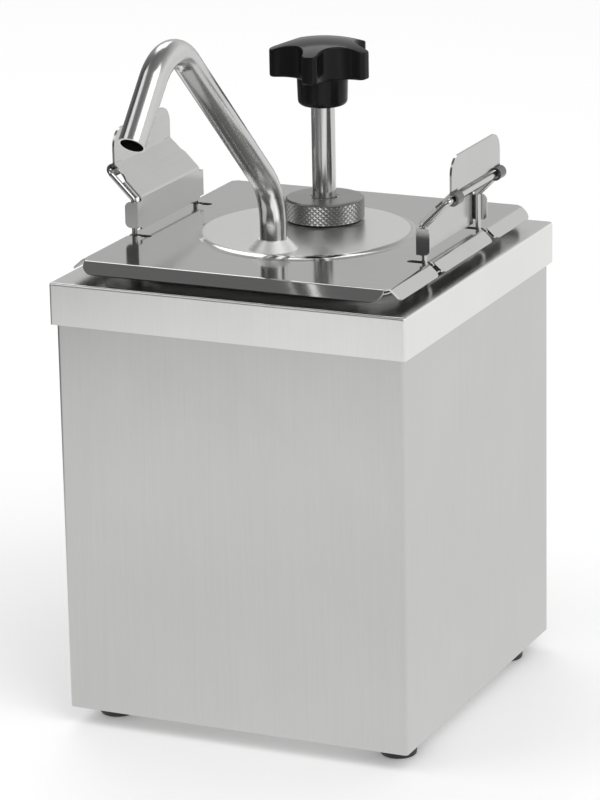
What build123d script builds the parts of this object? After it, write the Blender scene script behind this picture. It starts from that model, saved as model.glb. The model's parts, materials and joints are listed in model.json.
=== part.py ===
from build123d import *
import math
import os

os.makedirs("parts", exist_ok=True)

# Condiment dispenser: a sheet steel housing on rubber feet carries a drop-in food pan.
# A lid with a gasket closes the pan and holds a plunger pump, whose bent spout reaches
# out over the front, and two wire clips with lever plates hook the lid under the pan's rim.
# Millimetres. The floor is z = 0, +X is to the right and the spout points to -Y.
# The model is drawn about the housing's upright middle axis. At the end every piece moves
# along +Y, so that the origin lies under the middle of the whole object with its spout.

# Housing
housing_width = 200.0  # over the rim band, along X
housing_depth = 210.0  # over the rim band, along Y
housing_height = 235.0  # lower edge of the walls to the top of the rim
housing_sheet = 1.2
wall_corner_radius = 2.0
floor_flange_width = 34.0  # the walls' lower edges are folded inwards by this much
band_height = 22.5
band_proud = 2.4  # the rim band stands out from the walls by this much
band_corner_radius = 1.5
band_edge_radius = 1.4
hem_height = 7.0
well_lip_height = 4.2  # upturned lip round the well, which carries the pan
well_lip_root_radius = 0.9

# Feet and their screws
foot_height = 10.0
foot_top_radius = 10.5
foot_bottom_radius = 9.5
foot_edge_radius = 1.2
foot_inset_x = 15.6  # from a wall's outer face to the middle of a foot
foot_inset_y = 25.6
foot_recess_depth = 5.0
foot_recess_radius = 4.5
screw_radius = 2.0
screw_head_radius = 3.9
screw_head_height = 2.6
screw_head_edge_radius = 1.0
screw_end_length = 1.2  # how far a screw stands out of its nut
nut_across_flats = 7.0
nut_height = 3.2

# Food pan
pan_rim_width = 162.0
pan_rim_depth = 176.0
pan_rim_corner_radius = 14.0
pan_land = 7.5  # width of the flat rim
pan_height = 200.0
pan_sheet = 0.8
pan_corner_radius = 28.0
pan_neck_height = 16.0  # upright part under the rim
pan_step = 1.8
pan_taper = 8.0  # each wall comes in by this much, down to the floor
pan_floor_radius = 12.0
pan_clearance = 1.0  # between the pan's neck and the well's lip

# Lid and gasket
gasket_height = 4.6
gasket_inset = 0.5  # from the edge of the pan's rim
gasket_width = 7.8
gasket_inner_radius = 22.0
lid_sheet = 1.0
lid_overhang_x = 5.6  # from the pan's rim out to the bends of the side flanges
lid_overhang_y = 6.0  # from the pan's rim out to the bends of the front and back flanges
lid_corner_cut = 2.5
flange_out = 6.0
flange_drop = 5.2
flange_bend_radius = 2.2
flange_end_radius = 6.5
flange_square_radius = 1.4  # the side flanges' nearly square front ends
slot_width = 5.0
slot_depth = 19.2  # from a side flange's outer edge inwards
slot_corner_radius = 4.0
disc_radius = 59.8  # raised round panel in the lid, at the foot of its shoulder
disc_top_radius = 56.2
disc_rise = 1.6
disc_shoulder_radius = 3.0

# Pump barrel, which hangs from the lid
pump_y = 24.0
barrel_bore_radius = 14.0
barrel_wall = 1.0
thread_radius = 17.0  # the boss's outer thread, shown plain
thread_height = 7.0  # above the raised panel
boss_flange_radius = 22.0
boss_flange_height = 1.5
valve_body_gap = 7.0  # from the pan's floor up to the valve body
valve_body_height = 30.0
valve_body_radius = 19.0
valve_arm_width = 20.0
valve_arm_height = 18.0
barrel_seat_depth = 4.0
passage_radius = 4.5
passage_drop = 9.0  # from the valve body's top down to the passage's axis

# Check valves
inlet_seat_radius = 10.0
inlet_seat_height = 5.0
inlet_hole_radius = 5.0
inlet_chamber_radius = 8.5
inlet_ball_radius = 6.5
outlet_boss_radius = 13.0
outlet_boss_height = 14.0  # above the valve body's arm
outlet_seat_radius = 10.0
outlet_seat_height = 3.0
outlet_chamber_radius = 8.0
outlet_ball_radius = 6.0
ball_lift = 3.0
ball_gap = 0.2  # between a ball at rest and the edge of its seat
pin_radius = 1.25
union_grip = 11.0  # length of the union inside the outlet boss
union_head_height = 10.0
union_head_across_flats = 24.0
tube_socket_depth = 6.0

# Spout
spout_y = -42.5
tube_radius = 7.0
tube_wall = 1.2
spout_rise = 31.6  # lid top to the corner of the first bend
spout_reach = 117.2  # along -Y, from the first corner to the second
spout_slope = 42.15  # degrees above the level, between the corners
outlet_slope = 47.7  # degrees below the level, after the second corner
outlet_length = 62.9  # second corner to the mouth
first_bend_radius = 38.0
second_bend_radius = 26.0
cone_base_radius = 12.9
cone_top_radius = 7.8
cone_height = 5.2

# Plunger
stroke = 45.0
rod_radius = 6.35
rod_show = 50.2  # rod between the collar and the knob
stud_radius = 4.0
stud_length = 17.0
stud_chamfer = 0.6
bush_flange_radius = 16.5
bush_flange_height = 2.0
bush_spigot_length = 12.0
bush_nose_radius = 7.75
bush_nose_height = 2.9
wiper_radius = 7.2
wiper_height = 1.5
stop_ring_radius = 11.0
stop_ring_height = 4.0
piston_height = 18.0
piston_seal_height = 3.0
piston_seal_depth = 2.0
piston_seal_inset = 2.6
piston_gap = 0.25  # piston to barrel, each side
washer_radius = 13.0
washer_height = 2.0
piston_nut_across_flats = 13.0
piston_nut_height = 6.0
spring_wire_radius = 1.1
spring_radius = 11.2
spring_turns = 8.5
spring_pressed_height = 32.0

# Knurled collar
collar_radius = 21.5
collar_height = 12.0
collar_lift = 0.3  # clear of the raised panel
collar_hole_radius = 7.85
collar_edge_height = 0.9
collar_edge_chamfer = 0.7
knurl_depth = 0.7
knurl_columns = 44
knurl_rows = 4

# Knob
knob_tip_radius = 28.0
knob_valley_radius = 17.2
knob_scallop_radius = 13.8
knob_lobes = 5
knob_lobe_angle = 62.6  # degrees from +X to one lobe
knob_corner_radius = 3.2
knob_thickness = 14.4
knob_crown = 5.0  # how far the middle stands above the rim
knob_edge_radius = 1.0
hub_top_radius = 13.7
hub_bottom_radius = 13.2
hub_height = 16.2
hub_edge_radius = 3.0
insert_radius = 7.0
insert_length = 20.0

# Clips: a wire bail and a lever plate on each side
bail_wire_radius = 1.5
bail_leg_gap = 2.0  # from the pan's rim out to the middle of the legs
bail_leg_y = 37.5
bail_bend_radius = 2.3
bail_bend_height = 19.3  # above the lid, where the legs lean outwards
bail_top_out = 14.0  # from the legs out to the crossbar, and up as well
bail_foot_gap = 0.3  # between the lower bar and the ledge that it stands on
bail_bulge_out = 2.4  # the legs pass outside the pan's rim by this much
bail_bulge_top = 0.8  # below the lid's top, where the bulge starts
bail_foot_bend_radius = 2.0
bail_end_gap = 0.4  # the wire's two ends almost meet in the lower bar
lever_sheet = 1.2
lever_inset = 2.9  # from the legs in to the middle of the upright lower part
lever_floor_gap = 3.0  # above the lid
lever_bar_distance = 2.9  # from the crossbar's axis to the middle of the sloping sheet
lever_tab_inset = 0.8  # from the crossbar in to the middle of the upright tab
lever_height = 55.0
lever_bend_radius = 1.4
lever_width = 80.9  # upright lower part, between the ears' outer faces
slope_width = 71.5  # lower end of the sloping part, and the plate between the ears
tab_width = 67.5
flare_start = 0.44  # share of the sloping part below the S-curve to the tab's width
flare_end = 0.72
tab_corner_radius = 9.5
curl_width = 7.9
curl_end_angle = -110.0  # where a curl ends, counted from +X about the crossbar
ear_reach = 6.3
ear_low = 4.5
ear_high = 18.5
ear_corner_radius = 3.0
edge_reach = 2.5  # turned edges beside the sloping part
edge_start = 0.05  # share of the sloping part below the turned edge
edge_end = 0.52

# Clearances
slip_fit = 0.05  # between pieces that are put together and stay
running_fit = 0.05  # between pieces that turn or slide in each other
rest_gap = 0.05  # between flat faces that rest on each other

# Heights that follow from the sizes above
rim_top_z = foot_height + housing_height
pan_rim_z = rim_top_z + well_lip_height
gasket_z = pan_rim_z + pan_sheet
lid_under_z = gasket_z + gasket_height
lid_top_z = lid_under_z + lid_sheet
panel_top_z = lid_top_z + disc_rise
pan_floor_z = gasket_z - pan_height + pan_sheet
valve_floor_z = pan_floor_z + valve_body_gap
valve_top_z = valve_floor_z + valve_body_height
barrel_foot_z = valve_top_z - barrel_seat_depth
boss_top_z = panel_top_z + thread_height
bush_top_z = boss_top_z + bush_flange_height
collar_floor_z = panel_top_z + collar_lift
collar_top_z = collar_floor_z + collar_height
knob_foot_z = collar_top_z + rod_show
washer_foot_z = barrel_foot_z + spring_pressed_height + stroke
piston_foot_z = washer_foot_z + washer_height + rest_gap
piston_top_z = piston_foot_z + piston_height
inlet_chamber_z = valve_floor_z + inlet_seat_height
passage_z = valve_top_z - passage_drop
outlet_boss_top_z = valve_top_z + outlet_boss_height
outlet_seat_top_z = outlet_boss_top_z - union_grip
outlet_seat_z = outlet_seat_top_z - outlet_seat_height
union_top_z = outlet_boss_top_z + union_head_height
tube_foot_z = union_top_z - tube_socket_depth
bail_bend_z = lid_top_z + bail_bend_height

# Widths that follow from the sizes above
wall_width = housing_width - 2 * band_proud
wall_depth = housing_depth - 2 * band_proud
foot_place_x = wall_width / 2 - foot_inset_x
foot_place_y = wall_depth / 2 - foot_inset_y
lid_width = pan_rim_width + 2 * lid_overhang_x
lid_depth = pan_rim_depth + 2 * lid_overhang_y
bail_leg_x = pan_rim_width / 2 + bail_leg_gap
bar_x = bail_leg_x + bail_top_out
lever_x = bail_leg_x - lever_inset
lever_tab_x = bar_x - lever_tab_inset
neck_width = pan_rim_width - 2 * pan_land
neck_depth = pan_rim_depth - 2 * pan_land
well_width = neck_width + 2 * pan_clearance
well_depth = neck_depth + 2 * pan_clearance
well_corner_radius = pan_corner_radius + pan_clearance
barrel_radius = barrel_bore_radius + barrel_wall

STANDING = (Align.CENTER, Align.CENTER, Align.MIN)


def rounded_block(width, depth, height, corner_radius, z):
    """Upright block with rounded corners that stands at height z on the middle axis."""
    return extrude(Pos(0, 0, z) * RectangleRounded(width, depth, corner_radius), height)


def disc(radius, height, z):
    """Round block that stands at height z on the middle axis."""
    return Pos(0, 0, z) * Cylinder(radius, height, align=STANDING)


def washer(outer_radius, inner_radius, height, z):
    """Flat ring that stands at height z on the middle axis."""
    return disc(outer_radius, height, z) - disc(inner_radius, height, z)


def hex_block(across_flats, height, z):
    """Six-sided block that stands at height z on the middle axis."""
    outline = RegularPolygon(across_flats / 2, 6, major_radius=False)
    return extrude(Pos(0, 0, z) * outline, height)


def top_edges(part):
    """Edges round the highest face."""
    return part.faces().sort_by(Axis.Z)[-1].edges()


def bottom_edges(part):
    """Edges round the lowest face."""
    return part.faces().sort_by(Axis.Z)[0].edges()


def foot_places():
    """Middle of each foot, with its name."""
    return {
        "front_left_foot": (-foot_place_x, -foot_place_y),
        "front_right_foot": (foot_place_x, -foot_place_y),
        "back_left_foot": (-foot_place_x, foot_place_y),
        "back_right_foot": (foot_place_x, foot_place_y),
    }


def at_feet(part):
    """One copy of a piece over each foot, as a list."""
    return [Pos(x, y, 0) * part for x, y in foot_places().values()]


def make_housing_body():
    """Four walls folded from one sheet, with their lower edges turned inwards."""
    height = housing_height - housing_sheet
    inner_radius = wall_corner_radius - housing_sheet
    walls = rounded_block(wall_width, wall_depth, height, wall_corner_radius, foot_height)
    room_width = wall_width - 2 * housing_sheet
    room_depth = wall_depth - 2 * housing_sheet
    walls -= rounded_block(room_width, room_depth, height, inner_radius, foot_height + housing_sheet)
    window_width = wall_width - 2 * floor_flange_width
    window_depth = wall_depth - 2 * floor_flange_width
    walls -= rounded_block(window_width, window_depth, height, wall_corner_radius, foot_height)
    for hole in at_feet(disc(screw_radius + slip_fit, housing_sheet, foot_height)):
        walls -= hole
    return walls


def make_rim_frame():
    """Band round the top, its flat ledge and the upturned lip that carries the pan."""
    band_z = rim_top_z - band_height
    band = rounded_block(housing_width, housing_depth, band_height, band_corner_radius, band_z)
    band = fillet(top_edges(band), band_edge_radius)
    room_width = housing_width - 2 * housing_sheet
    room_depth = housing_depth - 2 * housing_sheet
    room_radius = band_corner_radius - housing_sheet
    room = rounded_block(room_width, room_depth, band_height - housing_sheet, room_radius, band_z)
    band -= fillet(top_edges(room), band_edge_radius - housing_sheet)
    lip_width = well_width + 2 * housing_sheet
    lip_depth = well_depth + 2 * housing_sheet
    lip_radius = well_corner_radius + housing_sheet
    lip_z = rim_top_z - housing_sheet / 2
    lip_height = well_lip_height + housing_sheet / 2
    lip = rounded_block(lip_width, lip_depth, lip_height, lip_radius, lip_z)
    frame = band + lip
    frame = fillet(new_edges(band, lip, combined=frame).group_by(Axis.Z)[-1], well_lip_root_radius)
    well_height = well_lip_height + band_height
    frame -= rounded_block(well_width, well_depth, well_height, well_corner_radius, band_z)
    hem = rounded_block(room_width, room_depth, hem_height, room_radius, band_z)
    wall_room_width = wall_width + 2 * slip_fit
    wall_room_depth = wall_depth + 2 * slip_fit
    wall_room_radius = wall_corner_radius + slip_fit
    hem -= rounded_block(wall_room_width, wall_room_depth, hem_height, wall_room_radius, band_z)
    return frame + hem


def make_base_plate():
    """Bottom sheet, which lies on the walls' inward flanges."""
    width = wall_width - 2 * housing_sheet - 2 * slip_fit
    depth = wall_depth - 2 * housing_sheet - 2 * slip_fit
    z = foot_height + housing_sheet
    plate = rounded_block(width, depth, housing_sheet, wall_corner_radius - housing_sheet, z)
    for hole in at_feet(disc(screw_radius + slip_fit, housing_sheet, z)):
        plate -= hole
    return plate


def make_foot():
    """Tapered rubber foot with a recess for its screw's head, on the middle axis."""
    foot = Cone(foot_bottom_radius, foot_top_radius, foot_height, align=STANDING)
    foot = fillet(bottom_edges(foot), foot_edge_radius)
    foot -= disc(foot_recess_radius, foot_recess_depth, 0)
    return foot - disc(screw_radius + slip_fit, foot_height, 0)


def make_foot_screw():
    """Pan-head screw of one foot, on the middle axis."""
    floor_stack = foot_height - foot_recess_depth + 2 * housing_sheet
    head_z = foot_recess_depth - screw_head_height
    head = disc(screw_head_radius, screw_head_height, head_z)
    head = fillet(bottom_edges(head), screw_head_edge_radius)
    shank = disc(screw_radius, floor_stack + nut_height + screw_end_length, foot_recess_depth)
    return head + shank


def make_foot_nut():
    """Nut of one foot's screw, on the base plate."""
    z = foot_height + 2 * housing_sheet
    return hex_block(nut_across_flats, nut_height, z) - disc(screw_radius + slip_fit, nut_height, z)


def pan_form(inset):
    """The pan's filled form below its rim, with every wall moved inwards by an inset."""
    neck_z = gasket_z - pan_neck_height + inset
    floor_z = gasket_z - pan_height + inset
    width = neck_width - 2 * inset
    depth = neck_depth - 2 * inset
    radius = pan_corner_radius - inset
    neck = rounded_block(width, depth, gasket_z - neck_z, radius, neck_z)
    tub_radius = radius - pan_step
    top = Pos(0, 0, neck_z) * RectangleRounded(width - 2 * pan_step, depth - 2 * pan_step, tub_radius)
    pull = pan_step + pan_taper
    bottom = Pos(0, 0, floor_z) * RectangleRounded(width - 2 * pull, depth - 2 * pull, tub_radius)
    tub = loft([bottom.face(), top.face()])
    tub = fillet(bottom_edges(tub), pan_floor_radius - inset)
    return neck + tub


def make_food_pan():
    """Deep drawn pan with a flat rim that rests on the well's lip."""
    rim = rounded_block(pan_rim_width, pan_rim_depth, pan_sheet, pan_rim_corner_radius, pan_rim_z)
    return rim + pan_form(0) - pan_form(pan_sheet)


def make_lid_gasket():
    """Black gasket under the lid, which seals on the pan's rim."""
    width = pan_rim_width - 2 * gasket_inset
    depth = pan_rim_depth - 2 * gasket_inset
    radius = pan_rim_corner_radius - gasket_inset
    ring = rounded_block(width, depth, gasket_height, radius, gasket_z)
    inner_width = width - 2 * gasket_width
    inner_depth = depth - 2 * gasket_width
    return ring - rounded_block(inner_width, inner_depth, gasket_height, gasket_inner_radius, gasket_z)


def lid_flange(start, end, start_radius, end_radius):
    """Sloping flange along Y whose bend is over x = 0, with its outer corners rounded."""
    slope = math.atan2(flange_drop, flange_out)
    middle_radius = flange_bend_radius - lid_sheet / 2
    corner_x = -lid_sheet / 2 * math.tan(slope / 2)
    reach = middle_radius + lid_sheet
    length = math.hypot(flange_out, flange_drop)
    path = FilletPolyline(
        (corner_x - reach, -lid_sheet / 2),
        (corner_x, -lid_sheet / 2),
        (corner_x + length * math.cos(slope), -lid_sheet / 2 - length * math.sin(slope)),
        radius=middle_radius,
    )
    strip = extrude(Plane.XZ * trace(path, lid_sheet), start - end)
    strip = Pos(0, start, 0) * strip
    tip = strip.faces().sort_by(Axis.X)[-1]
    corners = tip.edges().filter_by(Axis.Y, reverse=True).sort_by(Axis.Y)
    strip = fillet(corners[0], start_radius)
    tip = strip.faces().filter_by(GeomType.PLANE).sort_by(Axis.X)[-1]
    corners = tip.edges().filter_by(Axis.Y, reverse=True).sort_by(Axis.Y)
    return fillet(corners[-1], end_radius)


def make_side_flanges():
    """The right side's flange, in three lengths between the slots."""
    reach = lid_depth / 2 - lid_corner_cut
    near = bail_leg_y - slot_width / 2
    far = bail_leg_y + slot_width / 2
    lengths = [
        lid_flange(-reach, -far, flange_square_radius, slot_corner_radius),
        lid_flange(-near, near, slot_corner_radius, slot_corner_radius),
        lid_flange(far, reach, slot_corner_radius, flange_end_radius),
    ]
    return [Pos(lid_width / 2, 0, lid_top_z) * length for length in lengths]


def raised_panel(inset, z):
    """Flat cone that stands at height z, as high as the lid's raised panel."""
    return Pos(0, 0, z) * Cone(disc_radius - inset, disc_top_radius - inset, disc_rise, align=STANDING)


def make_lid():
    """Sheet lid with sloping flanges, slots for the bails and a raised round panel."""
    slope = math.atan2(flange_drop, flange_out)
    bend_start = flange_bend_radius * math.tan(slope / 2)
    width = lid_width - 2 * bend_start
    depth = lid_depth - 2 * bend_start
    plate = Pos(0, 0, lid_under_z) * Box(width, depth, lid_sheet, align=STANDING)
    plate = chamfer(plate.edges().filter_by(Axis.Z), lid_corner_cut - bend_start)
    raised = raised_panel(0, lid_top_z)
    plate += fillet(top_edges(raised), disc_shoulder_radius)
    shoulder_slope = math.atan2(disc_rise, disc_radius - disc_top_radius)
    plate -= raised_panel(lid_sheet * math.tan(shoulder_slope / 2), lid_under_z)
    slot_length = slot_depth + slot_width
    slot_x = lid_width / 2 + flange_out - slot_depth + slot_length / 2
    for side in (-1, 1):
        for end in (-1, 1):
            slot = extrude(SlotOverall(slot_length, slot_width), 2 * lid_sheet)
            plate -= Pos(side * slot_x, end * bail_leg_y, lid_under_z - lid_sheet / 2) * slot
    for flange in make_side_flanges():
        plate += flange
        plate += mirror(flange, Plane.YZ)
    half = lid_width / 2 - lid_corner_cut
    end_flange = lid_flange(-half, half, flange_end_radius, flange_end_radius)
    plate += Rot(0, 0, -90) * Pos(lid_depth / 2, 0, lid_top_z) * end_flange
    plate += Rot(0, 0, 90) * Pos(lid_depth / 2, 0, lid_top_z) * end_flange
    plate -= Pos(0, pump_y, 0) * disc(thread_radius + slip_fit, disc_rise + 2 * lid_sheet, lid_under_z)
    plate -= Pos(0, spout_y, 0) * disc(tube_radius + slip_fit, disc_rise + 2 * lid_sheet, lid_under_z)
    return plate


def make_pump_mount_boss():
    """Threaded ring welded into the lid, with a flange under the raised panel."""
    flange_z = lid_under_z + disc_rise - boss_flange_height
    boss = disc(boss_flange_radius, boss_flange_height, flange_z)
    boss += disc(thread_radius, boss_top_z - flange_z, flange_z)
    boss -= disc(barrel_radius + slip_fit, boss_top_z - flange_z, flange_z)
    return Pos(0, pump_y, 0) * boss


def make_pump_barrel():
    """Tube in which the piston slides, from the boss down into the valve body."""
    height = boss_top_z - barrel_foot_z
    return Pos(0, pump_y, 0) * washer(barrel_radius, barrel_bore_radius, height, barrel_foot_z)


def make_valve_body():
    """Block at the pump's foot, with the inlet chamber, the passage and the outlet boss."""
    arm_length = pump_y - spout_y
    arm_z = valve_top_z - valve_arm_height
    body = Pos(0, pump_y, 0) * disc(valve_body_radius, valve_body_height, valve_floor_z)
    arm = Box(valve_arm_width, arm_length, valve_arm_height, align=STANDING)
    body += Pos(0, (pump_y + spout_y) / 2, arm_z) * arm
    boss_height = outlet_boss_top_z - arm_z
    body += Pos(0, spout_y, 0) * disc(outlet_boss_radius, boss_height, arm_z)
    body -= Pos(0, pump_y, 0) * disc(inlet_chamber_radius, valve_body_height, valve_floor_z)
    seat_room = disc(inlet_seat_radius + slip_fit, inlet_seat_height, valve_floor_z)
    body -= Pos(0, pump_y, 0) * seat_room
    body -= Pos(0, pump_y, 0) * disc(barrel_radius + slip_fit, barrel_seat_depth, barrel_foot_z)
    passage = Rot(-90, 0, 0) * Cylinder(passage_radius, arm_length, align=STANDING)
    body -= Pos(0, spout_y, passage_z) * passage
    body -= Pos(0, spout_y, 0) * disc(passage_radius, outlet_boss_top_z - passage_z, passage_z)
    union_room = disc(outlet_seat_radius + slip_fit, union_grip + outlet_seat_height, outlet_seat_z)
    body -= Pos(0, spout_y, 0) * union_room
    pin_hole = Rot(0, 90, 0) * Cylinder(pin_radius + slip_fit, 2 * valve_body_radius)
    return body - Pos(0, pump_y, pin_height()) * pin_hole


def ball_rest_height(ball_radius, hole_radius):
    """Height of a ball's centre above the edge of the round hole that it closes."""
    return math.sqrt(ball_radius**2 - hole_radius**2) + ball_gap


def pin_height():
    """Height of the retainer pin's axis, clear of the lifted inlet ball."""
    ball_z = inlet_chamber_z + ball_rest_height(inlet_ball_radius, inlet_hole_radius)
    return ball_z + ball_lift + inlet_ball_radius + ball_gap + pin_radius


def make_inlet_seat():
    """Ring pressed into the valve body from below, which the inlet ball closes."""
    seat = washer(inlet_seat_radius, inlet_hole_radius, inlet_seat_height, valve_floor_z)
    return Pos(0, pump_y, 0) * seat


def make_inlet_ball():
    """Ball that lets food in when the plunger rises."""
    z = inlet_chamber_z + ball_rest_height(inlet_ball_radius, inlet_hole_radius)
    return Pos(0, pump_y, z) * Sphere(inlet_ball_radius)


def make_ball_retainer_pin():
    """Cross pin above the inlet ball."""
    length = 2 * (valve_body_radius - slip_fit)
    return Pos(0, pump_y, pin_height()) * Rot(0, 90, 0) * Cylinder(pin_radius, length)


def make_outlet_seat():
    """Ring in the outlet boss, which the outlet ball closes."""
    seat = washer(outlet_seat_radius, passage_radius, outlet_seat_height, outlet_seat_z)
    return Pos(0, spout_y, 0) * seat


def make_outlet_ball():
    """Ball that lets food up into the spout when the plunger is pressed."""
    z = outlet_seat_top_z + ball_rest_height(outlet_ball_radius, passage_radius)
    return Pos(0, spout_y, z) * Sphere(outlet_ball_radius)


def make_discharge_union():
    """Screwed piece that holds the outlet ball's seat down and the spout's tube up."""
    part = disc(outlet_seat_radius, union_grip, outlet_seat_top_z)
    part += hex_block(union_head_across_flats, union_head_height, outlet_boss_top_z)
    part -= disc(outlet_chamber_radius, tube_foot_z - outlet_seat_top_z, outlet_seat_top_z)
    part -= disc(tube_radius + slip_fit, tube_socket_depth, tube_foot_z)
    return Pos(0, spout_y, 0) * part


def spout_corner():
    """Where the tube's two upper runs would meet, above the second bend."""
    rise = spout_reach * math.tan(math.radians(spout_slope))
    return Vector(0, spout_y - spout_reach, lid_top_z + spout_rise + rise)


def spout_mouth():
    """Middle of the tube's open end."""
    fall = math.radians(outlet_slope)
    return spout_corner() - Vector(0, math.cos(fall), math.sin(fall)) * outlet_length


def make_spout_tube():
    """One bent tube, from the union up through the lid and out over the front."""
    path = FilletPolyline(
        (0, spout_y, tube_foot_z),
        (0, spout_y, lid_top_z + spout_rise),
        spout_corner(),
        spout_mouth(),
        radius=[first_bend_radius, second_bend_radius],
    )
    foot = Pos(0, spout_y, tube_foot_z)
    tube = sweep(foot * Circle(tube_radius), path=path)
    return tube - sweep(foot * Circle(tube_radius - tube_wall), path=path)


def make_spout_cone():
    """Cone welded round the tube where it stands on the raised panel."""
    cone = Cone(cone_base_radius, cone_top_radius, cone_height, align=STANDING)
    cone = Pos(0, 0, panel_top_z) * cone
    return Pos(0, spout_y, 0) * (cone - disc(tube_radius + slip_fit, cone_height, panel_top_z))


def make_rod_guide_bush():
    """Flanged bush that the collar clamps on the barrel's mouth, with a nose round the rod."""
    spigot_radius = barrel_bore_radius - slip_fit
    bush = disc(spigot_radius, bush_spigot_length, boss_top_z - bush_spigot_length)
    bush += disc(bush_flange_radius, bush_flange_height, boss_top_z)
    bush += disc(bush_nose_radius, bush_nose_height, bush_top_z)
    bush -= disc(rod_radius + running_fit, bush_spigot_length + bush_flange_height + bush_nose_height,
                 boss_top_z - bush_spigot_length)
    bush -= disc(wiper_radius, wiper_height, bush_top_z + bush_nose_height - wiper_height)
    return Pos(0, pump_y, 0) * bush


def make_rod_wiper_seal():
    """Lip ring in the bush's nose, which wipes the rod."""
    z = bush_top_z + bush_nose_height - wiper_height
    return Pos(0, pump_y, 0) * washer(wiper_radius - slip_fit, rod_radius + running_fit, wiper_height, z)


def knurl_band(height, z):
    """Diamond knurl round the middle axis: pyramids between two sets of crossing grooves."""
    steps = 2 * knurl_columns
    levels = 2 * knurl_rows

    def point(column, level):
        is_peak = (column + level) % 2 == 1
        radius = collar_radius if is_peak else collar_radius - knurl_depth
        angle = 2 * math.pi * column / steps
        return Vector(radius * math.cos(angle), radius * math.sin(angle), z + height * level / levels)

    faces = []
    for level in range(levels + 1):
        for column in range(steps):
            if (column + level) % 2 == 0:
                continue
            peak = point(column, level)
            left, right = point(column - 1, level), point(column + 1, level)
            if level < levels:
                above = point(column, level + 1)
                faces.append(Face(Wire.make_polygon([peak, right, above], close=True)))
                faces.append(Face(Wire.make_polygon([peak, above, left], close=True)))
            if level > 0:
                below = point(column, level - 1)
                faces.append(Face(Wire.make_polygon([peak, below, right], close=True)))
                faces.append(Face(Wire.make_polygon([peak, left, below], close=True)))
    for level in (0, levels):
        rim = [point(column, level) for column in range(steps)]
        faces.append(Face(Wire.make_polygon(rim, close=True)))
    return Part() + Solid(Shell(faces))


def make_knurled_collar():
    """Screw collar that holds the plunger's bush down, with a diamond knurl round it."""
    land_radius = collar_radius - knurl_depth - slip_fit
    knurl_z = collar_floor_z + collar_edge_height
    knurl_height = collar_height - 2 * collar_edge_height
    collar = knurl_band(knurl_height, knurl_z)
    lower_land = disc(land_radius, collar_edge_height, collar_floor_z)
    collar += chamfer(bottom_edges(lower_land), collar_edge_chamfer)
    upper_land = disc(land_radius, collar_edge_height, knurl_z + knurl_height)
    collar += chamfer(top_edges(upper_land), collar_edge_chamfer)
    room_height = bush_top_z + rest_gap - collar_floor_z
    collar -= disc(thread_radius + running_fit, room_height, collar_floor_z)
    collar -= disc(collar_hole_radius, collar_height, collar_floor_z)
    return Pos(0, pump_y, 0) * collar


def make_spring_seat_washer():
    """Washer between the spring's top and the turning piston."""
    inner_radius = piston_nut_across_flats / math.sqrt(3) + piston_gap
    return Pos(0, pump_y, 0) * washer(washer_radius, inner_radius, washer_height, washer_foot_z)


def make_return_spring():
    """Compression spring under the piston."""
    foot_z = barrel_foot_z + spring_wire_radius + rest_gap
    height = washer_foot_z - barrel_foot_z - 2 * (spring_wire_radius + rest_gap)
    helix = Helix(height / spring_turns, height, spring_radius, center=(0, pump_y, foot_z))
    section = Plane(origin=helix @ 0, z_dir=helix % 0) * Circle(spring_wire_radius)
    return sweep(section, path=helix, is_frenet=True)


def make_plunger_rod():
    """Rod from the knob down to the piston, with a stud at each end."""
    rod = disc(rod_radius, knob_foot_z - piston_top_z, piston_top_z)
    rod += disc(stud_radius, stud_length, knob_foot_z)
    lower_length = piston_height + piston_nut_height
    rod += disc(stud_radius, lower_length, piston_top_z - lower_length)
    rod = chamfer(bottom_edges(rod), stud_chamfer)
    return Pos(0, pump_y, 0) * rod


def make_rod_stop_ring():
    """Ring on the rod, which stops under the bush when the plunger is up."""
    z = boss_top_z - bush_spigot_length - rest_gap - stop_ring_height
    return Pos(0, pump_y, 0) * washer(stop_ring_radius, rod_radius + slip_fit, stop_ring_height, z)


def seal_heights():
    """Foot of each piston seal, the lower one first."""
    lower = piston_foot_z + piston_seal_inset
    upper = piston_top_z - piston_seal_inset - piston_seal_height
    return lower, upper


def make_piston():
    """Grooved piston on the rod's lower stud."""
    radius = barrel_bore_radius - piston_gap
    piston = disc(radius, piston_height, piston_foot_z)
    for z in seal_heights():
        piston -= washer(radius, radius - piston_seal_depth, piston_seal_height, z)
    return Pos(0, pump_y, 0) * (piston - disc(stud_radius + slip_fit, piston_height, piston_foot_z))


def make_piston_seal(z):
    """Seal ring in one of the piston's grooves."""
    outer_radius = barrel_bore_radius - running_fit
    inner_radius = barrel_bore_radius - piston_gap - piston_seal_depth + slip_fit
    ring = washer(outer_radius, inner_radius, piston_seal_height - 2 * slip_fit, z + slip_fit)
    return Pos(0, pump_y, 0) * ring


def make_piston_nut():
    """Nut that holds the piston on the rod."""
    z = piston_foot_z - piston_nut_height
    nut = hex_block(piston_nut_across_flats, piston_nut_height, z)
    return Pos(0, pump_y, 0) * (nut - disc(stud_radius + slip_fit, piston_nut_height, z))


def knob_outline():
    """Star outline with narrow rounded lobes and hollow flanks."""
    scallop_place = knob_valley_radius + knob_scallop_radius
    outline = Sketch() + Circle(knob_tip_radius)
    for lobe in range(knob_lobes):
        angle = 360 / knob_lobes * (lobe + 0.5)
        outline -= Rot(0, 0, angle) * Pos(scallop_place, 0) * Circle(knob_scallop_radius)
    corners = [v for v in outline.vertices() if Vector(v.X, v.Y).length > knob_tip_radius - 0.1]
    return fillet(corners, knob_corner_radius)


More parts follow.
